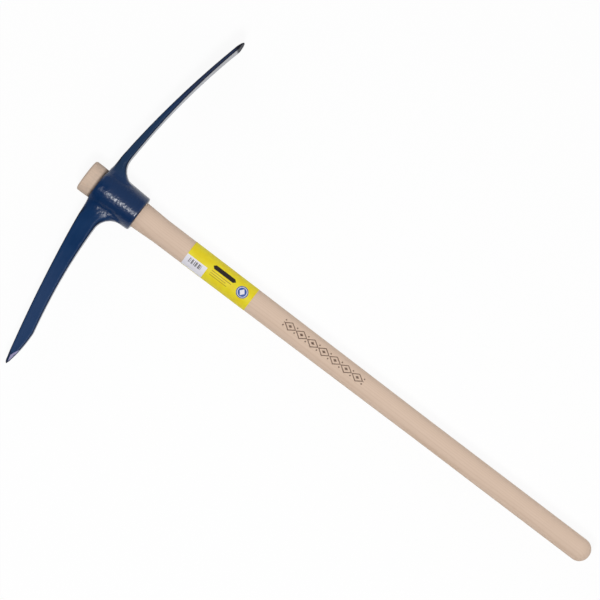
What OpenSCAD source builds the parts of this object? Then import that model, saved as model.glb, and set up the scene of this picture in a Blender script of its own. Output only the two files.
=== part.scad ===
// Slip-eye pick axe, lying on its side. A forged head carries a square pick point and a flat mattock
// blade either side of a tapered eye. A turned hardwood handle jams in the eye, and a paper label is
// wrapped round its shaft.
// X runs along the handle towards the butt, +Y is the blade's side, and Z stands square to the head.
// The origin lies under the middle of the tool, on the surface that the blade's corner touches.

/* [Handle] */
// Length of the handle from the knob to the butt
handle_len = 947; // [900:1:1000]
// Height of the knob above the eye
knob_rise = 23.5; // [18:0.5:35]
// Diameter of the knob
knob_d = 51.6; // [51:0.1:53]
// Rounding of the knob's edge
knob_round = 3.5; // [1:0.5:8]
// Diameter of the shaft just below the flare
shaft_d = 39.8; // [39:0.1:42]
// Diameter of the shaft where it starts to thin
waist_d = 38.6; // [37:0.1:39]
// Length of the shaft from the flare to where it starts to thin
shaft_len = 185; // [182:1:240]
// Diameter of the grip
grip_d = 36; // [32:0.5:37]
// Length of the straight grip, with the rounded butt
grip_len = 315; // [200:5:400]
// Rounding of the butt, up to half of the grip's diameter
butt_round = 17.5; // [4:0.5:18]

/* [Eye] */
// Length of the eye along the handle
eye_len = 76; // [70:1:90]
// Diameter of the tapered seat at the top of the eye
seat_top_d = 50.8; // [49.5:0.1:51.2]
// Diameter of the tapered seat at the bottom of the eye
seat_bottom_d = 43.7; // [43:0.1:45]
// Clearance between the handle and the eye, on each side
seat_fit = 0.05; // [0.02:0.01:0.1]
// Outer diameter of the eye at the top
eye_top_d = 65; // [62:0.5:72]
// Outer diameter of the eye at the bottom
eye_bottom_d = 57.5; // [54:0.5:62]
// Rounding of the eye's lower rim
eye_rim = 2.5; // [1:0.5:4]
// Rounding of the eye's upper rim
eye_lip = 4; // [1:0.5:5]

/* [Blade] */
// Reach of the cutting edge from the handle's axis
blade_reach = 301; // [260:1:330]
// Width of the cutting edge
blade_w = 82; // [66:1:100]
// Width of the blade where it leaves the eye
blade_neck_w = 39; // [36:1:50]
// Thickness of the blade where it leaves the eye
blade_root_t = 13; // [10:0.5:18]
// Thickness of the blade behind its bevel
blade_t = 5.2; // [4:0.1:8]
// Thickness of the cutting edge
blade_edge_t = 2.2; // [1:0.1:3]
// Length of the ground cutting edge, which is bevelled and rounded back to its corners
blade_bow = 15; // [6:1:30]
// Lean of the blade towards the butt where it leaves the eye, in degrees
blade_lean = 3.4; // [0:0.1:8]
// Radius of the blade's downward bend
blade_bend_r = 1350; // [800:10:3000]
// Fillet under the blade
blade_fillet = 31; // [16:1:34]
// Fillet at the sides of the blade
blade_side_r = 25; // [15:1:35]

/* [Pick] */
// Reach of the point from the handle's axis
pick_reach = 299; // [260:1:330]
// Width of the pick where it leaves the eye
pick_neck_w = 38; // [28:1:42]
// Width of the pick behind its point
pick_w = 22; // [18:0.5:26]
// Depth of the pick where it leaves the eye
pick_root_t = 30.8; // [26:0.2:36]
// Depth of the pick behind its point
pick_t = 21.8; // [18:0.2:26]
// Length over which the point is drawn out
pick_point = 61; // [40:1:90]
// Length of the ground facets at the sides of the point
pick_facet = 21; // [10:1:35]
// Thickness of the blunt tip
pick_tip = 4; // [2:0.5:8]
// Length of the blunt tip
pick_nose = 3; // [1:0.5:6]
// Lean of the pick towards the butt where it leaves the eye, in degrees
pick_lean = 6.9; // [2:0.1:12]
// Radius of the pick's downward bend
pick_bend_r = 2155; // [1200:5:4000]
// Fillet under the pick
pick_fillet = 34; // [12:1:38]
// Fillet at the sides of the pick
pick_side_r = 30; // [12:1:40]

/* [Label] */
// Length of the label along the shaft
label_len = 118; // [60:1:120]
// Distance of the label from the end of the flare
label_gap = 53; // [10:1:62]
// Angle that the label wraps round the shaft, in degrees
label_wrap = 265; // [180:5:340]
// Thickness of the paper
label_t = 0.2; // [0.1:0.05:0.4]
// Thickness of the glue under the paper
label_glue = 0.05; // [0.02:0.01:0.1]

/* [Hidden] */
$fn = 96;

// Overrun of a cut past the face that it opens
overrun = 1;
// How far each arm's upper edge starts below the top of the eye
blade_drop = 1.3;
pick_drop = 0;
// Sides of each section through an arm, and sections along its stretches
ring_n = 24;
plan_steps = 3;
fillet_steps = 6;
arm_steps = 12;
end_steps = 4;
bow_steps = 10;
arc_steps = 8;
// Where the arms begin inside the eye's wall, as shares of its radius and of its chord there
root_share = 0.3;
chord_share = 0.97;
// Squareness of the arms' sections: 2 is an ellipse, and 20 is nearly a rectangle
root_crown_power = 3;
root_under_power = 2.3;
blade_power = 20;
pick_power = 13;
// Length over which an arm turns square, as a share of the fillet under it
square_share = 1.4;
// How the blade's flare gathers towards the edge
flare_power = 1.9;
// How the arms' depth gathers towards their roots
blade_draw_power = 1.5;
pick_draw_power = 2.3;
// How far the point swells past a straight taper, as a share of its depth
swell_share = 0.5;
// Size of the blunt tip's end, as a share of the tip
nose_share = 0.4;
// How much of the cutting edge's oval is kept before its flat end
oval_share = 0.99;

// Places along the handle, from the top of the eye
butt_x = handle_len - knob_rise;
seat_taper = (seat_top_d - seat_bottom_d) / 2 / eye_len;
seat_r = seat_top_d / 2 - seat_fit;
neck_x = (seat_r - knob_d / 2) / seat_taper;
flare_x = (seat_r - shaft_d / 2) / seat_taper;
waist_x = flare_x + shaft_len;
grip_x = butt_x - grip_len;
label_x = flare_x + label_gap;

// The arms leave the eye from a circle just inside its outer wall
root_r = eye_bottom_d / 2;

// The tool's middle and the height of its axis above the surface that it lies on
mid_x = butt_x - handle_len / 2;
mid_y = (blade_reach - pick_reach) / 2;
axis_z = max(blade_w, eye_top_d) / 2;

function clamp01(v) = max(0, min(1, v));
function mix(a, b, v) = a + (b - a) * v;

// Points on an arc, from one angle to another
function arc(centre, r, from, to) = [
    for (k = [0 : arc_steps])
        let (a = mix(from, to, k / arc_steps))
        centre + r * [cos(a), sin(a)]
];

// Upper edge of an arm at a distance y from the axis
function crown(y, drop, lean, bend_r) =
    let (d = max(0, y - root_r))
    drop + d * tan(lean) + d * d / (2 * bend_r);

// Depth that the fillet under an arm adds at a distance y from the axis
function fillet_depth(y, fillet) =
    let (d = max(0, min(fillet, y - root_r)))
    fillet - sqrt(fillet * fillet - (fillet - d) * (fillet - d));

// Depth of an arm, drawn out from its root to its end
function drawn(y, start, end, root_t, end_t, power) =
    let (v = clamp01((y - start) / (end - start)))
    mix(end_t, root_t, pow(1 - v, power));

// Where the fillet at an arm's side leaves the arm, and where it meets the eye
function side_end(neck_w, side_r) =
    sqrt(pow(root_r + side_r, 2) - pow(neck_w / 2 + side_r, 2));
function side_start(neck_w, side_r) =
    side_end(neck_w, side_r) * root_r / (root_r + side_r);

// Half width of an arm's neck at a distance y from the axis, inside the eye and along the fillet
function neck_half(y, neck_w, side_r) =
    let (end = side_end(neck_w, side_r))
    y < side_start(neck_w, side_r)
        ? chord_share * sqrt(root_r * root_r - y * y)
        : neck_w / 2 + side_r - sqrt(side_r * side_r - pow(max(0, end - y), 2));

// Distances of an arm's sections: inside the eye, along both fillets, and out to its drawn end
function neck_places(neck_w, side_r, fillet) =
    let (start = side_start(neck_w, side_r))
    concat(
        [root_share * root_r],
        [for (k = [0 : plan_steps - 1]) mix(start, root_r, k / plan_steps)],
        [for (k = [0 : fillet_steps]) root_r + fillet * (1 - cos(90 * k / fillet_steps))]
    );
function arm_places(start, end) = [for (k = [1 : arm_steps]) mix(start, end, k / arm_steps)];

// A section is [distance, upper edge, lower edge, half width]
function blade_half(y) =
    let (start = side_end(blade_neck_w, blade_side_r))
    let (wide = blade_reach - blade_bow)
    let (v = clamp01((y - start) / (wide - start)))
    let (flared = (blade_w - blade_neck_w) / 2 * pow(v, flare_power))
    let (bowed = clamp01((y - wide) / blade_bow))
    (neck_half(y, blade_neck_w, blade_side_r) + flared) * sqrt(1 - oval_share * bowed * bowed);
function blade_section(y) =
    let (start = root_r + blade_fillet)
    let (end = blade_reach - blade_bow)
    let (top = crown(y, blade_drop, blade_lean, blade_bend_r))
    let (drawn_t = drawn(y, start, end, blade_root_t, blade_t, blade_draw_power))
    let (ground = clamp01((y - end) / blade_bow))
    let (depth = mix(drawn_t + fillet_depth(y, blade_fillet), blade_edge_t, ground))
    [y, top, top + depth, blade_half(y)];
function blade_sections() =
    let (end = blade_reach - blade_bow)
    [
        for (y = concat(
            neck_places(blade_neck_w, blade_side_r, blade_fillet),
            arm_places(root_r + blade_fillet, end),
            [for (k = [1 : bow_steps]) mix(end, blade_reach, sin(90 * k / bow_steps))]
        ))
            blade_section(y)
    ];

function pick_half(y) =
    let (start = side_end(pick_neck_w, pick_side_r))
    let (facet = pick_reach - pick_facet)
    let (thinned = pick_neck_w - drawn(y, start, facet, pick_neck_w, pick_w, pick_draw_power))
    let (ground = clamp01((y - facet) / (pick_facet - pick_nose)))
    mix(neck_half(y, pick_neck_w, pick_side_r) - thinned / 2, pick_tip / 2, ground);
function pick_section(y) =
    let (start = root_r + pick_fillet)
    let (end = pick_reach - pick_point)
    let (top = crown(y, pick_drop, pick_lean, pick_bend_r))
    let (drawn_t = drawn(y, start, end, pick_root_t, pick_t, pick_draw_power))
    let (left = 1 - clamp01((y - end) / (pick_point - pick_nose)))
    let (full = drawn_t + fillet_depth(y, pick_fillet))
    let (depth = mix(pick_tip, full, left + swell_share * left * (1 - left)))
    [y, top, top + depth, pick_half(y)];
function pick_sections() =
    let (end = pick_reach - pick_point)
    let (facet = pick_reach - pick_facet)
    let (nose = pick_reach - pick_nose)
    let (tip_x = crown(pick_reach, pick_drop, pick_lean, pick_bend_r) + pick_tip / 2)
    let (end_half = nose_share * pick_tip / 2)
    concat(
        [
            for (y = concat(
                neck_places(pick_neck_w, pick_side_r, pick_fillet),
                arm_places(root_r + pick_fillet, end),
                [for (k = [1 : end_steps]) mix(end, facet, k / end_steps)],
                [for (k = [1 : end_steps]) mix(facet, nose, 1 - pow(1 - k / end_steps, 2))]
            ))
                pick_section(y)
        ],
        [[pick_reach, tip_x - end_half, tip_x + end_half, end_half]]
    );

// Sine or cosine of a rounded square: the power says how square it is
function squared(s, power) = sign(s) * pow(abs(s), 2 / power);

// Points round one section, whose lower half is rounder near the eye
function section_ring(section, blend, arm_power) = [
    for (i = [0 : ring_n - 1])
        let (a = 360 * i / ring_n)
        let (root_power = sin(a) < 0 ? root_crown_power : root_under_power)
        let (power = mix(root_power, arm_power, clamp01((section[0] - root_r) / blend)))
        [
            mix(section[1], section[2], (1 + squared(sin(a), power)) / 2),
            section[0],
            section[3] * squared(cos(a), power)
        ]
];

// An arm skinned over its sections, from inside the eye's wall to its end
module arm(sections, blend, arm_power) {
    rings = [for (s = sections) section_ring(s, blend, arm_power)];
    last = (len(rings) - 1) * ring_n;
    half = ring_n / 2;
    walls = [
        for (j = [0 : len(rings) - 2], i = [0 : ring_n - 1])
            let (a = j * ring_n + i, b = j * ring_n + (i + 1) % ring_n)
            each [[a, a + ring_n, b + ring_n], [a, b + ring_n, b]]
    ];
    root_cap = [[for (i = [0 : ring_n - 1]) i]];
    end_cap = concat(
        [[last, last + ring_n - 1, last + 1]],
        [
            for (i = [1 : half - 2])
                let (a = last + i, b = last + ring_n - i)
                each [[a, b, b - 1], [a, b - 1, a + 1]]
        ],
        [[last + half - 1, last + half + 1, last + half]]
    );
    polyhedron([for (r = rings) each r], concat(walls, root_cap, end_cap), convexity = 4);
}

// A solid turned about the handle's axis from an outline of [radius, place along the axis]
module turned(outline) rotate([0, 90, 0]) rotate_extrude() polygon(outline);

module eye_outside()
    turned(concat(
        [[0, 0]],
        arc([eye_top_d / 2 - eye_lip, eye_lip], eye_lip, -90, 0),
        arc([eye_bottom_d / 2 - eye_rim, eye_len - eye_rim], eye_rim, 0, 90),
        [[0, eye_len]]
    ));

module eye_seat()
    let (rise = overrun * seat_taper)
    turned([
        [0, -overrun],
        [seat_top_d / 2 + rise, -overrun],
        [seat_bottom_d / 2 - rise, eye_len + overrun],
        [0, eye_len + overrun]
    ]);

module placed() translate([-mid_x, -mid_y, axis_z]) children();

module pick_head() {
    color([0.09, 0.19, 0.35])
        placed()
        difference() {
            union() {
                eye_outside();
                arm(blade_sections(), square_share * blade_fillet, blade_power);
                mirror([0, 1, 0]) arm(pick_sections(), square_share * pick_fillet, pick_power);
            }
            eye_seat();
        }
}

module handle() {
    butt_r = min(butt_round, grip_d / 2);
    color([0.82, 0.73, 0.64])
        placed()
        turned(concat(
            [[0, -knob_rise]],
            arc([knob_d / 2 - knob_round, knob_round - knob_rise], knob_round, -90, 0),
            [[knob_d / 2, neck_x], [shaft_d / 2, flare_x], [waist_d / 2, waist_x], [grip_d / 2, grip_x]],
            arc([grip_d / 2 - butt_r, butt_x - butt_r], butt_r, 0, 90),
            [[0, butt_x]]
        ));
}

module label() {
    near_r = mix(shaft_d, waist_d, label_gap / shaft_len) / 2 + label_glue;
    far_r = mix(shaft_d, waist_d, (label_gap + label_len) / shaft_len) / 2 + label_glue;
    color([0.89, 0.81, 0.12])
        placed()
        rotate([0, 90, 0])
        rotate([0, 0, 180 - label_wrap / 2])
        rotate_extrude(angle = label_wrap)
        polygon([
            [near_r, label_x],
            [near_r + label_t, label_x],
            [far_r + label_t, label_x + label_len],
            [far_r, label_x + label_len]
        ]);
}

pick_head();
handle();
label();
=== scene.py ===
# %% [markdown]
# # A slip-eye pick axe
# The tool has three pieces: a forged head, a turned wooden handle and a paper label. The head has no wedge.
# It is put on from the butt, slides up the handle and jams on a taper below the knob.
#
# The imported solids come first. They are the fixed frame of this scene, in metres: +X runs along the handle
# to the butt, +Y is the blade's side and +Z stands square to the head. Each new piece is placed from them.

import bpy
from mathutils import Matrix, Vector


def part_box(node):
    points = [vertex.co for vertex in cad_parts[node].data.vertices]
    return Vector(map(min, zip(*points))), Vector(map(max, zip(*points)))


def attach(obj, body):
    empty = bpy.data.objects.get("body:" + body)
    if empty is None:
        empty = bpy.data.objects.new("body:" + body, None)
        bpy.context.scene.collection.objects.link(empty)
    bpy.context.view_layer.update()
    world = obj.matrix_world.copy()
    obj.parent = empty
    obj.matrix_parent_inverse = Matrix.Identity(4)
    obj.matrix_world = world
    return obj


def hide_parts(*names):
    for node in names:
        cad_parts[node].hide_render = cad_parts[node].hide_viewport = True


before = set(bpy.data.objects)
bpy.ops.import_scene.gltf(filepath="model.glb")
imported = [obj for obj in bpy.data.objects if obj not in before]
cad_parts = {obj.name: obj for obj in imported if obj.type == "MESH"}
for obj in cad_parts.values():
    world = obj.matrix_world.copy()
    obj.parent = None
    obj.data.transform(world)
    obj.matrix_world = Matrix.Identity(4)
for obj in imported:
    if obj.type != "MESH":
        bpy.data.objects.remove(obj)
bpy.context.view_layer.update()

# %% [markdown]
# Sizes could be typed in again here, but then they could drift away from the solids. Most are read off the
# solids instead, so that the dressed pieces fit without any adjusting. The handle's axis is the middle of its
# box, and the two radii of the eye come from the head's own vertices.

# %% Measure the solids
import math

import bmesh
import bpy
import numpy as np
from mathutils import Vector, noise

MM = 0.001
near_axis = 10 * MM
crown_slice = 0.1 * MM

handle_low, handle_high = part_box("handle")
head_low, head_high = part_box("pick_head")
label_low, label_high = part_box("label")
axis_y = (handle_low.y + handle_high.y) / 2
axis_z = (handle_low.z + handle_high.z) / 2


def corners(piece):
    """The vertices of a mesh object, as an array."""
    places = np.zeros(len(piece.data.vertices) * 3)
    piece.data.vertices.foreach_get("co", places)
    return places.reshape(-1, 3)


def off_axis(places):
    """How far each place lies from the handle's axis."""
    return np.hypot(places[:, 1] - axis_y, places[:, 2] - axis_z)


solid_head = corners(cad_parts["pick_head"])
over_axis = np.abs(solid_head[:, 1] - axis_y) < near_axis
eye_r = float(np.abs(solid_head[over_axis, 2] - axis_z).max())
crown = solid_head[solid_head[:, 0] < head_low.x + crown_slice]
bore_r = float(off_axis(crown).min())
print("the axis runs at y %.1f mm and z %.1f mm" % (axis_y / MM, axis_z / MM))
print("the eye is %.1f mm across outside and %.1f mm inside" % (2 * eye_r / MM, 2 * bore_r / MM))

# %% [markdown]
# The photograph looks straight down on the tool from about 5.6 m, so the camera hangs above it and turns
# about its own line of sight until the handle runs down to the right. A near camera with a short lens would
# frame the same tool, but show more of the sides of the head. A long lens from far away keeps the outline
# almost free of perspective, as a catalogue picture does.

# %% Hang the camera
camera_reach = 5.6
camera_aim = Vector((-0.1044, 0.0431, 0.038))
camera_turn = math.radians(37.24)
camera_lens = 223.7
camera_sensor = 36.0
camera_far = 100.0

view = bpy.data.cameras.new("catalogue_view")
view.lens = camera_lens
view.sensor_width = camera_sensor
view.sensor_fit = "HORIZONTAL"
view.clip_end = camera_far
camera = bpy.data.objects.new("catalogue_camera", view)
camera.location = camera_aim + Vector((0, 0, camera_reach))
camera.rotation_euler = (0, 0, camera_turn)
bpy.context.scene.collection.objects.link(camera)
bpy.context.scene.camera = camera
bpy.context.scene.view_settings.view_transform = "Standard"
print("the camera hangs at", [round(v, 3) for v in camera.location])

# %% [markdown]
# A material is a tree of nodes, and it could be wired up by hand, one node after the other. Here it is
# written as arithmetic, because a mask then reads as it would on paper. A `Wire` is one output of a node. A
# sum or a product of wires adds the Math node that works it out, so `1 - mask` just works. A `Finish` holds
# the tree, and its `node` method adds any other node: the type, its settings, then what its sockets get.

# %% A finish and its wires


class Finish:
    """The node tree of a material or a world while it is wired up."""

    def __init__(self, owner):
        owner.use_nodes = True
        self.owner = owner
        self.tree = owner.node_tree
        self.tree.nodes.clear()

    def node(self, kind, settings=None, sockets=None, out=0):
        """Adds a node and returns one of its outputs."""
        added = self.tree.nodes.new("ShaderNode" + kind)
        for name, value in (settings or {}).items():
            setattr(added, name, value)
        for place, value in (sockets or {}).items():
            if isinstance(value, Wire):
                self.tree.links.new(value.socket, added.inputs[place])
            else:
                added.inputs[place].default_value = value
        return Wire(self, added.outputs[out]) if added.outputs else None

    def dress(self, piece, shader):
        """Sends a shader to the material's output and puts the material on a piece."""
        self.node("OutputMaterial", sockets={"Surface": shader})
        piece.data.materials.append(self.owner)


class Wire:
    """One output of a node. Arithmetic on wires adds Math nodes to their finish."""

    def __init__(self, finish, socket):
        self.finish = finish
        self.socket = socket

    def sum_of(self, operation, first, second=0.0):
        return self.finish.node("Math", {"operation": operation}, {0: first, 1: second})

    def __add__(self, other):
        return self.sum_of("ADD", self, other)

    def __sub__(self, other):
        return self.sum_of("SUBTRACT", self, other)

    def __rsub__(self, other):
        return self.sum_of("SUBTRACT", other, self)

    def __mul__(self, other):
        return self.sum_of("MULTIPLY", self, other)

    def __truediv__(self, other):
        return self.sum_of("DIVIDE", self, other)

    def __pow__(self, other):
        return self.sum_of("POWER", self, other)

    def __mod__(self, other):
        return self.sum_of("FLOORED_MODULO", self, other)

    def __abs__(self):
        return self.sum_of("ABSOLUTE", self)

    __radd__ = __add__
    __rmul__ = __mul__

    def least(self, other):
        return self.sum_of("MINIMUM", self, other)

    def most(self, other):
        return self.sum_of("MAXIMUM", self, other)

    def ease(self, start, end):
        """From 0 at the start to 1 at the end, smoothly."""
        sockets = {"Value": self, "From Min": start, "From Max": end}
        return self.finish.node("MapRange", {"interpolation_type": "SMOOTHSTEP"}, sockets)

    def below(self, edge, fade):
        """1 below an edge and 0 above it, fading over this much on either side."""
        return self.ease(edge + fade, edge - fade)

    def band(self, rise, fall):
        """1 between a rise and a fall. Each is given by its start and its end."""
        return self.ease(*rise) * self.ease(*fall)

    def spread(self, low, high):
        """The low value where the wire is 0 and the high one where it is 1."""
        return low + (high - low) * self

    def colours(self, first, second):
        """A colour between two, the first where the wire is 0 and the second where it is 1."""
        return self.finish.node("Mix", {"data_type": "RGBA"}, {0: self, 6: first, 7: second}, out=2)

    def parts(self):
        """The three parts of a vector."""
        first = self.finish.node("SeparateXYZ", sockets={0: self})
        return [Wire(self.finish, part) for part in first.socket.node.outputs]

    def cloudy(self, scale, detail=2.0):
        """Soft noise from 0 to 1 over these places."""
        return self.finish.node("TexNoise", sockets={"Vector": self, "Scale": scale, "Detail": detail})


print("a wire understands + - * / ** % and abs")

# %% [markdown]
# Colours are picked as a screen shows them, from 0 to 255, while a shader wants the share of light that a
# surface reflects. The standard curve of a screen turns one into the other.

# %% Colours as light


def paint(red, green, blue):
    """A colour as a painter reads it off a screen, turned into the light that it reflects."""
    shares = np.array((red, green, blue)) / 255
    light = np.where(shares > 0.04045, ((shares + 0.055) / 1.055) ** 2.4, shares / 12.92)
    return (*light.tolist(), 1.0)


def grey(light):
    """A neutral colour that reflects or gives this much light."""
    return (light, light, light, 1.0)


print("pale beech reflects", [round(v, 3) for v in paint(217, 193, 174)])

# %% [markdown]
# A catalogue picture is lit by a lamp over a white sheet that bounces light back under the tool. Glossy paint
# is a mirror of the room round it. Seen from above, a round eye mirrors only the strip of sky that runs
# square to the handle, so that strip is dim here, and dark on the pick's side. Both ends of the room are
# brighter and fill the shadows on the wood, so the enamel stays deep. A thin white horizon closes the sky. An
# even grey world would be simpler, but it would lay a veil over all of the paint.

# %% The room's sky
sky_pale = 0.28
sky_dark = 0.02
end_pale = 1.1
end_dark = 0.35
strip_fade = (-0.45, -0.05)
end_fade = (-0.2, 0.5)
end_reach = (0.3, 0.6)
horizon_fade = (0.13, 0.05)

room = bpy.data.worlds.new("studio_room")
bpy.context.scene.world = room
sky = Finish(room)
toward_x, toward_y, toward_z = sky.node("TexCoord", out="Generated").parts()
strip = toward_y.ease(*strip_fade).colours(grey(sky_dark), grey(sky_pale))
room_ends = toward_y.ease(*end_fade).colours(grey(end_dark), grey(end_pale))
overhead = abs(toward_x).ease(*end_reach).colours(strip, room_ends)
horizon = toward_z.ease(*horizon_fade)
glow = sky.node("Background", sockets={"Color": horizon.colours(overhead, grey(1))})
sky.node("OutputWorld", sockets={"Surface": glow})
print("the sky is", sky_dark, "to", sky_pale, "over the tool, and", end_dark, "to", end_pale, "at the ends")

# %% [markdown]
# The lamp hangs beside the camera and looks at the head. A sun lamp would light the tool too, but it would
# draw hard pinpoints on the enamel. A small softbox, set off towards the pick's side, isn't mirrored by the
# flat faces of the arms, and only the bumps on the eye catch it.

# %% Hang the lamp
lamp_reach = 3.2
lamp_along = math.radians(12)
lamp_across = math.radians(-14)
lamp_width = 0.67
lamp_length = 0.56
lamp_power = 62.0

eye_middle = Vector(((head_low.x + head_high.x) / 2, axis_y, axis_z))
lamp_aim = Vector((math.tan(lamp_along), math.tan(lamp_across), 1.0)).normalized()
softbox = bpy.data.lights.new("softbox", "AREA")
softbox.shape = "RECTANGLE"
softbox.size = lamp_width
softbox.size_y = lamp_length
softbox.energy = lamp_power
lamp = bpy.data.objects.new("softbox", softbox)
lamp.location = eye_middle + lamp_aim * lamp_reach
lamp.rotation_euler = lamp_aim.to_track_quat("Z", "Y").to_euler()
lamp.visible_camera = False
bpy.context.scene.collection.objects.link(lamp)
print("the lamp hangs at", [round(v, 2) for v in lamp.location])

# %% [markdown]
# The floor is a white sheet under the tool. Light enough to burn it out to white would bleach the wood as
# well. So a camera and a mirror see it as white paper with only a hint of the tool's shadow, while the light
# that it bounces is that of a plain white surface.

# %% Lay the floor
floor_half = 12.0
floor_white = 0.9
shadow_share = 0.07


def new_finish(name):
    """The finish of a new, empty material."""
    return Finish(bpy.data.materials.new(name))


bpy.ops.mesh.primitive_plane_add(size=2 * floor_half)
floor = bpy.context.object
floor.name = "white_sheet"
sheet = new_finish("white_sheet")
lit = sheet.node("BsdfDiffuse", sockets={"Color": grey(floor_white)})
seen = sheet.node("LightPath", out="Is Camera Ray")
mirrored = sheet.node("LightPath", out="Is Glossy Ray")
through = sheet.node("LightPath", out="Is Transmission Ray")
bright = sheet.node("Emission", sockets={"Color": grey(1), "Strength": 1.0})
white_share = seen.most(mirrored).most(through) * (1 - shadow_share)
sheet.dress(floor, sheet.node("MixShader", sockets={0: white_share, 1: lit, 2: bright}))
print("the floor is", 2 * floor_half, "m wide, at z", floor.location.z)

# %% [markdown]
# ## The forged head
# The head is one forging. Its solid has the right shape but is made of long flat facets, which glossy paint
# would show at once. A subdivision surface would pull the thin blade out of shape, so a copy of the solid is
# remade as small even squares instead, and these are then smoothed.

# %% Remake the head in small squares
voxel = 1.15 * MM
weld_gap = 0.001 * MM


def even_blank(node, name):
    """A new object with the node's shape in even squares."""
    blank = bpy.data.objects.new(name, node.data.copy())
    bpy.context.scene.collection.objects.link(blank)
    blank.data.materials.clear()
    welded = bmesh.new()
    welded.from_mesh(blank.data)
    bmesh.ops.remove_doubles(welded, verts=welded.verts, dist=weld_gap)
    welded.to_mesh(blank.data)
    welded.free()
    remesh = blank.modifiers.new("even_squares", "REMESH")
    remesh.mode = "VOXEL"
    remesh.voxel_size = voxel
    seen_now = blank.evaluated_get(bpy.context.evaluated_depsgraph_get())
    remade = bpy.data.meshes.new_from_object(seen_now)
    blank.modifiers.clear()
    blank.data = remade
    return blank


head = even_blank(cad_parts["pick_head"], "forged_head")
print("the head has", len(head.data.vertices), "points and", len(head.data.polygons), "squares")

# %% [markdown]
# Plain smoothing shrinks a shape. The way used here takes a step in and a slightly longer step out again, so
# that ripples fade and the volume stays. A Smooth modifier could do the steps, but not the cap on how far a
# point may go, and that cap keeps the thin edge of the blade.

# %% Smooth the squares
smooth_passes = 200
step_in = 0.5
step_out = -0.51
smooth_cap = 0.4 * MM

edges = np.zeros(len(head.data.edges) * 2, int)
head.data.edges.foreach_get("vertices", edges)
points = np.concatenate([edges[0::2], edges[1::2]])
partners = np.concatenate([edges[1::2], edges[0::2]])
partner_count = np.bincount(points)[:, None]


def mean_around(places):
    """The middle of each point's neighbours."""
    sums = [np.bincount(points, places[partners, k]) for k in range(3)]
    return np.stack(sums, 1) / partner_count


def capped(places, moved, cap):
    """The moved places, none further than the cap from where it was."""
    gone = moved - places
    length = np.linalg.norm(gone, axis=1, keepdims=True)
    return places + gone * cap / np.maximum(length, cap)


blank_places = corners(head)
moved = blank_places.copy()
for step in [step_in, step_out] * smooth_passes:
    moved += step * (mean_around(moved) - moved)
head_places = capped(blank_places, moved, smooth_cap)
print("smoothing moved points by up to %.2f mm" % (np.abs(head_places - blank_places).max() / MM))

# %% [markdown]
# Beside the crown, the arms of the solid meet its eye in a corner. In forged steel they flow together, so
# these shoulders get plain smoothing, which fills a hollow corner and wears down a sharp edge. A bevel would
# need clean edges to follow, which the small squares don't have. The bore of the eye stays true, because the
# handle seats in it. A forged crown is seldom quite level: on the blade's side it dips a little, where the
# steel was drawn out into the arm.

# %% Soften the shoulders
shoulder_passes = 100
shoulder_cap = 1.6 * MM
shoulder_start = 20 * MM
start_fade = 4 * MM
shoulder_end = 46 * MM
shoulder_low = 20 * MM
shoulder_fade = 6 * MM
bore_keep = 4 * MM
bore_fade = 1.5 * MM
crown_dip = 1.6 * MM
dip_middle = 23 * MM
dip_reach = 8 * MM
dip_low = 10 * MM


def ramp(values, start, end):
    """From 0 at the start to 1 at the end."""
    return np.clip((values - start) / (end - start), 0, 1)


def outside_bore(places, rim):
    """0 in the bore of the eye and in this rim round it, and 1 just outside."""
    return ramp(off_axis(places), bore_r + rim, bore_r + rim + bore_fade)


beside_axis = np.abs(head_places[:, 1] - axis_y)
below_crown = head_places[:, 0] - head_low.x
shoulder = outside_bore(head_places, bore_keep)
shoulder *= ramp(below_crown, shoulder_low + shoulder_fade, shoulder_low - shoulder_fade)
shoulder *= ramp(beside_axis, shoulder_start - start_fade, shoulder_start + start_fade)
shoulder *= ramp(beside_axis, shoulder_end + shoulder_fade, shoulder_end - shoulder_fade)
moved = head_places.copy()
for _ in range(shoulder_passes):
    moved += step_in * shoulder[:, None] * (mean_around(moved) - moved)
moved = capped(head_places, moved, shoulder_cap)
print("the shoulders moved by up to %.2f mm" % (np.abs(moved - head_places).max() / MM))
from_dip = np.abs(moved[:, 1] - axis_y - dip_middle)
moved[:, 0] += crown_dip * ramp(from_dip, dip_reach, 0) * ramp(below_crown, dip_low, 0)
head_places = moved
head.data.vertices.foreach_set("co", head_places.ravel())
head.data.update()

# %% [markdown]
# A forged head is not a machined one. The hammer leaves broad shallow hollows all over, and the eye, which is
# drawn over a mandrel, keeps a coarse skin of scale under its paint. Bump in the material would give the same
# glints but leave the outline too clean, so both are lifted along the surface by noise, outside the bore.

# %% Forge the surface
hollow_size = 13 * MM
hollow_depth = 0.05 * MM
scale_size = 2.2 * MM
scale_depth = 0.25 * MM
arm_scale_share = 0.03
eye_blend = 16 * MM
bore_rim = 0.8 * MM


def lumps(places, size):
    """Soft noise from -1 to 1 at each place, with lumps about this big."""
    return np.array([noise.noise(Vector(place) / size) for place in places])


normals = np.zeros(len(head.data.vertices) * 3)
head.data.vertices.foreach_get("normal", normals)
normals = normals.reshape(-1, 3)
on_eye = ramp(np.abs(head_places[:, 1] - axis_y), eye_r + eye_blend, eye_r)
scale_share = arm_scale_share + (1 - arm_scale_share) * on_eye
lift = hollow_depth * lumps(head_places, hollow_size)
lift += scale_depth * scale_share * lumps(head_places, scale_size)
lift *= outside_bore(head_places, bore_rim)
head_places += normals * lift[:, None]
head.data.vertices.foreach_set("co", head_places.ravel())
head.data.shade_smooth()
head.data.update()
print("the forged skin lies within %.2f mm of smooth" % (np.abs(lift).max() / MM))

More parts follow.
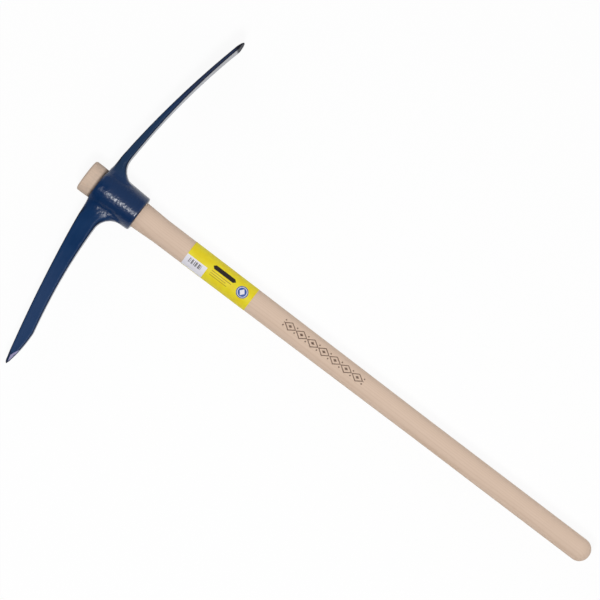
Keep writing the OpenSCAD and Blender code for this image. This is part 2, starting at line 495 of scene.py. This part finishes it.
# %% [markdown]
# The paint is a dark blue enamel, worn in known places, and some light and shade is painted into its colour.
# The inner side of the pick point is ground after painting, so bare steel shows there, and its pale lilac is
# a painted reflection of the light. The blunt tip keeps the black scale of hardening. The cutting edge and
# the arrises are painted near black as painted shade, and the rim against the wood as a painted shadow.
# Towards the point the blue is rubbed pale, and towards the edge dull. The wear could be painted on by hand,
# but here each place is a mask from 0 to 1 that comes from the sizes of the solid, so it sits where it
# belongs on both faces.

# %% Find the worn places and the painted shade
tip_slice = 1 * MM
tip_end = 2.3 * MM
tip_fade = 1 * MM
edge_end = 17 * MM
edge_fade = 2 * MM
foot_rise = (head_high.x - 2.5 * MM, head_high.x - 0.5 * MM)
arris_tilt = ((0.2, 0.5), (0.97, 0.8))
rounded_tilt = ((0.4, 0.7), (0.998, 0.985))
flat_tilt = (0.6, 0.85)
rubbed_fade = (210 * MM, 120 * MM)
rubbed_share = (0.6, 1.0)
dull_fade = (170 * MM, 80 * MM)
dull_share = (0.4, 0.8)
ground_start = 11 * MM
ground_slant = 1.5
ground_fade = 1 * MM
ground_inset = 2.2 * MM
inset_fade = 0.8 * MM
crown_lean = 0.25
drift_scale = 45.0
ragged_most = 3 * MM

tip_x = float(solid_head[solid_head[:, 1] < head_low.y + tip_slice, 0].min())
enamel = new_finish("blue_enamel")
place = enamel.node("TexCoord", out="Object")
along, across, _ = place.parts()
upward = abs(enamel.node("NewGeometry", out="Normal").parts()[2])
drift = place.cloudy(drift_scale)
ragged = (drift - 0.5) * ragged_most
from_axis = abs(across - axis_y)
from_tip = across - head_low.y
from_edge = head_high.y - across + ragged
near_eye = from_axis.ease(eye_r + eye_blend, eye_r)
tip = from_tip.below(tip_end, tip_fade)
# Painted shade: near the cutting edge the face is darkened where it mirrors no light. The mask also roughens
# it.
edge = from_edge.below(edge_end, edge_fade)
# Painted shadow: the eye's foot, where it meets the wood, is darkened.
foot_shadow = near_eye * along.ease(*foot_rise)
# Painted shade: the arrises that turn off the flats are darkened.
shaded_arris = upward.band(*arris_tilt) * (1 - near_eye)
rounded = upward.band(*rounded_tilt)
inset = along - tip_x + from_tip * crown_lean
ground_end = inset * ground_slant + ground_start + ragged - from_tip
ground = upward.ease(*flat_tilt) * ground_end.ease(0, ground_fade)
ground = ground * inset.ease(ground_inset, ground_inset + inset_fade)
rubbed = from_tip.ease(*rubbed_fade) * drift.spread(*rubbed_share)
dull = from_edge.ease(*dull_fade) * drift.spread(*dull_share)
print("the ground strip ends about %.0f mm from the tip" % (ground_start / MM))

# %% [markdown]
# The enamel lies thick, deep and glossy on the eye and thin and satin on the arms. Two materials would meet
# in a line, so there is one, with a clear coat that fades out along the arms. On the blade the blue is greyer
# than on the pick, and the colour itself drifts a little.

# %% Colour the enamel
enamel_blue = paint(21, 51, 90)
enamel_deep = paint(9, 41, 81)
enamel_satin = paint(33, 55, 84)
enamel_rubbed = paint(40, 62, 98)
enamel_dull = paint(44, 48, 66)
ground_steel_glint = paint(152, 148, 182)
scale_and_shade_black = paint(22, 22, 30)
satin_fade = (110 * MM, 190 * MM)
satin_share = (0.75, 1.15)
blue_fade = (0.3, 0.7)
blue_share = (0.6, 1.0)
deep_share = 0.8
shade_cover = 0.7
edge_shade_cover = 0.8

thick = from_axis.below(eye_r, eye_blend / 2)
on_blade = (1 - thick) * across.ease(axis_y, axis_y + eye_r) * from_edge.ease(*satin_fade)
bluer = drift.ease(*blue_fade).spread(*blue_share) * (1 - deep_share * thick)
colour = bluer.colours(enamel_deep, enamel_blue)
colour = (on_blade * drift.spread(*satin_share)).colours(colour, enamel_satin)
colour = rubbed.colours(colour, enamel_rubbed)
colour = dull.colours(colour, enamel_dull)
# Painted shade on the arrises and painted shadow at the eye's foot, both near black.
colour = (shaded_arris.most(foot_shadow) * shade_cover).colours(colour, scale_and_shade_black)
# Partly painted reflection: the ground facet's pale lilac is the light that it mirrors, laid into its colour.
colour = ground.colours(colour, ground_steel_glint)
# Near black at the blunt tip, which is scale, and along the cutting edge, which is painted shade.
enamel_colour = tip.most(edge * edge_shade_cover).colours(colour, scale_and_shade_black)
print("the clear coat ends %.0f mm from the axis" % ((eye_r + eye_blend / 2) / MM))

# %% [markdown]
# Sprayed enamel dries with a fine orange peel, which breaks up what the eye mirrors. It could be cut into the
# mesh, but it is finer than the squares, so it is bump. By the crown, a patch of the coat has gone dull.
# Roughness follows the wear: rounded and ground places and the cutting edge are duller than the paint.

# %% Gloss the enamel
peel_scale = 420.0
peel_share = (0.03, 1.0)
speckle_scale = 900.0
speckle_share = (0.01, 0.21)
patch_end = head_low.x + 18 * MM
patch_end_fade = 3 * MM
patch_side = axis_y + 8 * MM
patch_side_fade = 6 * MM
patch_dulling = 0.88
coat_most = 0.9
paint_rough = 0.15
drift_rough = 0.06
rounded_rough = 0.3
ground_rough = 0.2
edge_rough = 0.35

patch = along.below(patch_end, patch_end_fade) * across.below(patch_side, patch_side_fade)
glossy = thick * (1 - patch_dulling * patch)
peel = place.cloudy(peel_scale) * near_eye.spread(*peel_share)
speckle = place.cloudy(speckle_scale, detail=1.0) * near_eye.spread(*speckle_share)
bumps = enamel.node("Bump", sockets={"Strength": 0.5, "Distance": 0.12 * MM, "Height": peel + speckle})
worn_rough = rounded_rough * rounded + ground_rough * ground + edge_rough * edge
enamel.dress(head, enamel.node("BsdfPrincipled", sockets={
    "Base Color": enamel_colour,
    "Roughness": paint_rough + drift_rough * drift + worn_rough,
    "IOR": 1.14,
    "Coat Weight": coat_most * glossy,
    "Coat Roughness": 0.27,
    "Coat IOR": 1.45,
    "Normal": bumps,
}))
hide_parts("pick_head")
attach(head, "head")
print("enamel nodes:", len(enamel.tree.nodes))

# %% [markdown]
# ## The turned handle
# The handle is turned on a lathe, so one outline says all of its shape. That outline is read off the solid:
# each ring of its vertices gives a place along the axis and a radius. A cylinder with a bevel could not hold
# the knob, the taper and the slow thinning to the grip.

# %% Read the outline off the solid
ring_digits = 5

turned = corners(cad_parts["handle"])
ring_x = np.round(turned[:, 0], ring_digits)
ring_r = off_axis(turned)
outline_x = np.unique(ring_x)
outline_r = np.array([ring_r[ring_x == x].max() for x in outline_x])


def handle_radius(x):
    """The handle's radius at a place along its axis."""
    return np.interp(x, outline_x, outline_r)


print("the outline has", len(outline_x), "places")
print("the knob is %.1f mm across" % (2 * outline_r.max() / MM))

# %% [markdown]
# A mark is burned into the shaft, below the label. Here it is a chain of lozenges with a diamond in each one
# and dots between them, a plain border. An image could hold it, but would have to be lined up with the cut.
# So one function draws it. Given arrays of numbers it says how far each point of the mesh lies from a stroke,
# so that the groove can be cut. Given wires it says the same to the shader, so the scorch lies in the groove.

# %% Draw the burned mark
mark_start = handle_low.x + 371 * MM
mark_cells = 7
mark_pitch = 21 * MM
mark_turn = math.radians(12)
lozenge_long = 9.6 * MM
lozenge_high = 6.6 * MM
diamond_share = 0.36
dot_high = 4.6 * MM
dot_r = 1.25 * MM
stroke = 1.5 * MM
mark_length = mark_cells * mark_pitch
mark_r = float(handle_radius(mark_start + mark_length / 2))


def least(first, second):
    """The smaller of two wires or of two arrays of numbers."""
    return first.least(second) if isinstance(first, Wire) else np.minimum(first, second)


def most(first, second):
    """The larger of two wires or of two arrays of numbers."""
    return first.most(second) if isinstance(first, Wire) else np.maximum(first, second)


def lozenge(along, across, long, high):
    """How far a point lies outside the sides of a lozenge."""
    share = long * high / math.hypot(long, high)
    return (abs(along) / long + abs(across) / high - 1) * share


def burned(along, across):
    """How far a point lies outside the strokes of the mark, in metres."""
    cell = along % mark_pitch - mark_pitch / 2
    rim = abs(lozenge(cell, across, lozenge_long, lozenge_high)) - stroke / 2
    diamond = lozenge(cell, across, lozenge_long * diamond_share, lozenge_high * diamond_share)
    beside = abs(cell) - mark_pitch / 2
    above = abs(across) - dot_high
    dots = (beside * beside + above * above) ** 0.5 - dot_r
    ends = abs(along - mark_length / 2) - (mark_length / 2 + dot_r)
    return most(least(least(rim, diamond), dots), ends)


print("the mark is %.0f mm long and %.0f mm high" % (mark_length / MM, 2 * lozenge_high / MM))

# %% [markdown]
# The mesh is a net of rings and columns. A fine net all over would be heavy, so rings and columns stand close
# together only where the mark is cut. Its grooves are then true geometry, and the rest stays light.

# %% Turn the handle
ring_step = 5 * MM
fine_step = 0.5 * MM
mark_margin = 2 * MM
plain_columns = 72
groove_depth = 0.35 * MM
groove_wall = 0.4 * MM
cap_shares = (0.92, 0.6, 0.25)
net_digits = 6

fine_half = (lozenge_high + mark_margin) / mark_r
plain_turns = np.linspace(fine_half, 2 * math.pi - fine_half, plain_columns)
fine_turns = np.arange(-fine_half, fine_half, fine_step / mark_r)[1:]
turns = np.concatenate([plain_turns, 2 * math.pi + fine_turns]) + mark_turn
plain_x = np.arange(handle_low.x, handle_high.x, ring_step)
fine_x = np.arange(mark_start - mark_margin, mark_start + mark_length + mark_margin, fine_step)
plain_x = plain_x[(plain_x < fine_x[0] - ring_step / 2) | (plain_x > fine_x[-1] + ring_step / 2)]
rings = np.unique(np.round(np.concatenate([outline_x, plain_x, fine_x]), net_digits))

grid_x, grid_turn = np.meshgrid(rings, turns, indexing="ij")
mark_across = ((grid_turn - mark_turn + math.pi) % (2 * math.pi) - math.pi) * mark_r
away = burned(grid_x - mark_start, mark_across)
groove = groove_depth * np.clip(-away / groove_wall + 0.5, 0, 1)
grid_r = handle_radius(grid_x) - groove
top_x = np.full((len(cap_shares), len(turns)), rings[0])
end_x = np.full((len(cap_shares), len(turns)), rings[-1])
top_r = np.array(cap_shares[::-1])[:, None] * grid_r[:1]
end_r = np.array(cap_shares)[:, None] * grid_r[-1:]
net_x = np.concatenate([top_x, grid_x, end_x])
net_r = np.concatenate([top_r, grid_r, end_r])
print("the net has", net_x.shape[0], "rings and", net_x.shape[1], "columns")

# %% [markdown]
# Each ring is bent round the axis, and each four neighbours on the net become one face. Both ends close on a
# point in the middle, with a few narrower rings before it, so that the shading of the flat ends stays even.

# %% Skin the handle


def net_faces(rows, columns, closed):
    """The squares of a net of points, row after row."""
    last = columns if closed else columns - 1
    return [
        (r * columns + c, r * columns + (c + 1) % columns,
         (r + 1) * columns + (c + 1) % columns, (r + 1) * columns + c)
        for r in range(rows - 1) for c in range(last)
    ]


def round_axis(x, radius, turn):
    """Points at these places along the axis, radii and turns about it."""
    return np.stack([x, axis_y + radius * np.sin(turn), axis_z + radius * np.cos(turn)], 2).reshape(-1, 3)


def new_piece(name, places, faces):
    """A smooth mesh object of these points and faces."""
    mesh = bpy.data.meshes.new(name)
    mesh.from_pydata(places.tolist(), [], faces)
    mesh.shade_smooth()
    piece = bpy.data.objects.new(name, mesh)
    bpy.context.scene.collection.objects.link(piece)
    return piece


skin = round_axis(net_x, net_r, turns)
poles = np.array([[rings[0], axis_y, axis_z], [rings[-1], axis_y, axis_z]])
rows, columns = net_x.shape
faces = net_faces(rows, columns, closed=True)
pole = rows * columns
last_ring = pole - columns
faces += [(pole, (c + 1) % columns, c) for c in range(columns)]
faces += [(pole + 1, last_ring + c, last_ring + (c + 1) % columns) for c in range(columns)]
handle = new_piece("turned_handle", np.concatenate([skin, poles]), faces)
print("the handle has", len(handle.data.polygons), "faces")

# %% [markdown]
# The wood is pale beech, sanded and left bare. A flat wood pattern would have to be unwrapped and would fail
# on the ends. A tree grows in rings round its pith, so the rings are worked out in three dimensions about a
# line outside the handle: long quiet figure appears along the shaft, and end grain on the knob and the butt.
# Short dark flecks run with the grain, as they do in beech.

# %% Beech
beech_pale = paint(217, 193, 174)
beech_ring = paint(205, 179, 157)
beech_fleck = paint(176, 145, 120)
knob_tint = paint(196, 175, 157)
ring_gap = 3.1 * MM
pith_y = 62 * MM
pith_z = -38 * MM
wander_grain = (180 * MM, 30 * MM)
wander_most = 5 * MM
streak_grain = (70 * MM, 1.3 * MM)
fleck_grain = (3.5 * MM, 0.32 * MM)
cloud_grain = (60 * MM, 16 * MM)
late_wood = ((0.45, 0.95), (1.0, 0.95))
fleck_fade = (0.66, 0.76)
late_share = 0.45
streak_share = 0.3
cloud_share = 0.25
fleck_share = 0.35
knob_end = head_low.x + 3 * MM
knob_fade = 2 * MM
grime_scale = 160.0
grime_fade = (0.35, 0.7)
grime_share = (0.2, 0.8)

beech = new_finish("bare_beech")
place = beech.node("TexCoord", out="Object")
x, y, z = place.parts()
y = y - axis_y
z = z - axis_z


def stretched(along, across):
    """Noise whose lumps are this long along the grain and this wide across it."""
    spread = (1 / along, 1 / across, 1 / across)
    return beech.node("VectorMath", {"operation": "MULTIPLY"}, {0: place, 1: spread}).cloudy(1.0)


wander = stretched(*wander_grain) * wander_most
pith = ((y - pith_y) ** 2 + (z - pith_z) ** 2) ** 0.5
year = ((pith + wander) / ring_gap) % 1.0
streak = stretched(*streak_grain)
fleck = stretched(*fleck_grain).ease(*fleck_fade)
clouds = stretched(*cloud_grain)
figure = year.band(*late_wood) * late_share + streak * streak_share + clouds * cloud_share
flecked = (fleck * fleck_share).colours(figure.colours(beech_pale, beech_ring), beech_fleck)
grime_and_shadow_mottle = place.cloudy(grime_scale, detail=3.0)
on_knob = x.ease(knob_end, knob_end - knob_fade) * grime_and_shadow_mottle.ease(*grime_fade).spread(*grime_share)
wood = on_knob.colours(flecked, knob_tint)
print("the pith lies %.0f mm from the axis" % (math.hypot(pith_y, pith_z) / MM))

# %% [markdown]
# Just above the eye, where the knob meets the head, a dark ring is laid on the wood as a painted shadow of
# the gap between them. The rounded arris at the end of the knob is a little darker too, as painted shade.
# Separate bands laid over the wood would hide its grain. As masks on its colour they let it show through.

# %% Paint shadow and shade on the knob
contact_shadow_brown = paint(70, 60, 58)
arris_shade_colour = paint(160, 142, 128)
contact_shadow_rise = (head_low.x - 5.5 * MM, head_low.x - 1 * MM)
contact_shadow_fall = (head_low.x + 4 * MM, head_low.x + 1 * MM)
knob_rise = (handle_low.x, handle_low.x + 0.5 * MM)
knob_fall = (handle_low.x + 3.5 * MM, handle_low.x + 1 * MM)
contact_shadow_share = (0.7, 1.0)
arris_shade_share = 0.4

knob_arris_shade = x.band(knob_rise, knob_fall)
contact_shadow_ring = x.band(contact_shadow_rise, contact_shadow_fall)
# Painted shade: the rounded end arris of the knob is darkened.
wood = (knob_arris_shade * arris_shade_share).colours(wood, arris_shade_colour)
# Painted shadow: a dark ring just above the eye, where the knob meets the head.
wood = (contact_shadow_ring * grime_and_shadow_mottle.spread(*contact_shadow_share)).colours(wood, contact_shadow_brown)
print("the stain starts %.1f mm above the eye" % ((head_low.x - contact_shadow_rise[0]) / MM))

# %% [markdown]
# The scorch is darkest in the groove and fades over less than a millimetre at its edges, uneven as a hot iron
# leaves it. The wood itself is sanded, so its bump is slight: streaks stand up a little and flecks sink in.

# %% Scorch the mark and finish the wood
scorch_dark = paint(70, 42, 28)
iron_grain = (2.5 * MM, 0.8 * MM)
iron_ragged = 0.7 * MM
scorch_edge = -0.05 * MM
scorch_fade = 0.4 * MM
scorch_share = (0.6, 1.1)
streak_high = 0.6
fleck_deep = 0.5
wood_rough = (0.58, 0.78)

mark_side = (y.sum_of("ARCTAN2", y, z) - mark_turn) * mark_r
away = burned(x - mark_start, mark_side)
ragged = (stretched(*iron_grain) - 0.5) * iron_ragged
scorch = (away + ragged).below(scorch_edge, scorch_fade) * streak.spread(*scorch_share)
height = streak * streak_high - fleck * fleck_deep
bumps = beech.node("Bump", sockets={"Strength": 0.25, "Distance": 0.1 * MM, "Height": height})
beech.dress(handle, beech.node("BsdfPrincipled", sockets={
    "Base Color": scorch.colours(wood, scorch_dark),
    "Roughness": streak.spread(*wood_rough),
    "Specular IOR Level": 0.3,
    "Normal": bumps,
}))
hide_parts("handle")
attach(handle, "handle")
print("beech nodes:", len(beech.tree.nodes))

# %% [markdown]
# ## The paper label
# The label is a sheet of printed paper, glued round the shaft and open at the back. A decal on the handle
# would have no edge, so it is a thin sheet of its own, with both faces and a rim. Its edges lift by a hair.

# %% Wrap the label
paper = 0.2 * MM
glue = 0.05 * MM
lift_edge = 4 * MM
lift_most = 0.22 * MM
end_steep = 2
wave_long = 9 * MM
wave_turns = 5.0
wave_share = 0.3
label_rows = 96
label_columns = 150
sharp_turn = math.radians(50)

solid_label = corners(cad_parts["label"])
label_turns = np.arctan2(solid_label[:, 1] - axis_y, solid_label[:, 2] - axis_z)
wrap_half = float(np.abs(label_turns).max())
label_x = np.linspace(label_low.x, label_high.x, label_rows)
label_turn = np.linspace(-wrap_half, wrap_half, label_columns)
sheet_x, sheet_turn = np.meshgrid(label_x, label_turn, indexing="ij")
label_r = handle_radius(sheet_x)
to_end = np.minimum(sheet_x - label_low.x, label_high.x - sheet_x)
to_side = (wrap_half - np.abs(sheet_turn)) * label_r
edge_share = np.clip(1 - np.minimum(to_end * end_steep, to_side) / lift_edge, 0, 1) ** 2
waves = np.sin(sheet_x / wave_long) * np.sin(sheet_turn * wave_turns)
raised = lift_most * edge_share * (1 - wave_share + wave_share * waves)
outer_r = label_r + glue + paper + raised
outer = round_axis(sheet_x, outer_r, sheet_turn)
inner = round_axis(sheet_x, outer_r - paper, sheet_turn)

count = label_rows * label_columns
front = net_faces(label_rows, label_columns, closed=False)
back = [tuple(count + corner for corner in face[::-1]) for face in front]
grid = np.arange(count).reshape(label_rows, label_columns)
border = [*grid[0, :-1], *grid[:-1, -1], *grid[-1, :0:-1], *grid[:0:-1, 0]]
border = [int(corner) for corner in border]
rim = [(a, count + a, count + b, b) for a, b in zip(border[1:] + border[:1], border)]
label = new_piece("paper_label", np.concatenate([outer, inner]), front + back + rim)
label.data.set_sharp_from_angle(angle=sharp_turn)
label_long = (label_high.x - label_low.x) / MM
label_round = 2 * wrap_half * label_r.mean() / MM
print("the label is %.0f by %.0f mm" % (label_long, label_round))

# %% [markdown]
# The print is made of plain shapes. Each is a distance in millimetres from its edge, worked out from the
# place along the shaft and the turn about its axis. A picture file could hold the print too, but would blur
# when seen close. Distances stay sharp at any size.

# %% Lay out the print
ink_edge = 0.12

printed = new_finish("printed_paper")
place = printed.node("TexCoord", out="Object")
x, y, z = place.parts()
y = y - axis_y
z = z - axis_z
u = (x - label_low.x) / MM
w = y.sum_of("ARCTAN2", y, z) * (float(label_r.mean()) / MM)


def inked(distance):
    """1 inside a shape and 0 outside, from the distance to its edge."""
    return distance.below(0, ink_edge)


def block(left, right, low, high):
    """A plain rectangle of ink."""
    sides = abs(u - (left + right) / 2) - (right - left) / 2
    ends = abs(w - (low + high) / 2) - (high - low) / 2
    return inked(sides.most(ends))


def disc(at_u, at_w, radius):
    """A round dot of ink."""
    return inked(((u - at_u) ** 2 + (w - at_w) ** 2) ** 0.5 - radius)


def pointed_bar(left, right, low, high):
    """A bar whose two ends run to a point."""
    half = (high - low) / 2
    from_middle = abs(w - (low + high) / 2)
    ends = (abs(u - (left + right) / 2) + from_middle - (right - left) / 2) * math.sqrt(0.5)
    return inked(ends.most(from_middle - half))


print("the print is laid out on %.0f mm of shaft" % label_long)

# %% [markdown]
# The ground is yellow. A white panel with plain dark bars, a dark bar with pointed ends, a few thin rules and
# a blue disc with a white lozenge lie on it, one ink over the other, as a press would lay them down.

# %% Print the label
yellow = paint(228, 212, 34)
warm_yellow = paint(226, 202, 26)
panel_white = paint(226, 224, 232)
ink_black = paint(38, 30, 26)
ink_blue = paint(52, 86, 160)
ink_rule = paint(150, 116, 30)
patch_scale = 70.0
yellow_fade = (0.35, 0.75)
panel = (0, 37, -26, -1.5)
bar_rows = (-12, -4)
bar_start = 9.2
bar_pitch = 2.4
bar_widths = (0.6, 2, 0.6, 1.2, 2, 0.6, 2, 1.2, 0.6)
first_bar = (7, 8.2)
bar_cover = 0.8
title_bar = (42, 84, 3.5, 10.5)
rule_left = 44
rule_width = 0.8
rules = [(-0.5, 80), (-4, 72), (-7.5, 76)]
badge_u = 100
badge_w = 1
badge_rings = [(9.5, ink_blue), (8, panel_white), (7, ink_blue)]
badge_long = 4.5
badge_high = 5.5

patchy = place.cloudy(patch_scale)
print_colour = patchy.ease(*yellow_fade).colours(yellow, warm_yellow)
print_colour = block(*panel).colours(print_colour, panel_white)
bars = block(*first_bar, *bar_rows)
for k, width in enumerate(bar_widths):
    left = bar_start + bar_pitch * k
    bars = bars.most(block(left, left + width, *bar_rows))
print_colour = (bars * bar_cover).colours(print_colour, ink_black)
print_colour = pointed_bar(*title_bar).colours(print_colour, ink_black)
for low, right in rules:
    print_colour = block(rule_left, right, low, low + rule_width).colours(print_colour, ink_rule)
for radius, ink in badge_rings:
    print_colour = disc(badge_u, badge_w, radius).colours(print_colour, ink)
badge = inked(lozenge(u - badge_u, w - badge_w, badge_long, badge_high))
print_colour = badge.colours(print_colour, panel_white)
print("the print has", len(bar_widths) + 1, "bars,", len(rules), "rules and", len(badge_rings), "rings")

# %% [markdown]
# Label paper is calendered, so it has a satin sheen, and only a trace of its fibres can be felt. They are
# finer than any mesh, so they are bump.

# %% Finish the paper
fibre_scale = 1500.0
paper_rough = (0.5, 0.6)

fibre = place.cloudy(fibre_scale)
bumps = printed.node("Bump", sockets={"Strength": 0.15, "Distance": 0.05 * MM, "Height": fibre})
printed.dress(label, printed.node("BsdfPrincipled", sockets={
    "Base Color": print_colour,
    "Roughness": patchy.spread(*paper_rough),
    "Specular IOR Level": 0.3,
    "Normal": bumps,
}))
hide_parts("label")
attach(label, "handle")
print("print nodes:", len(printed.tree.nodes))
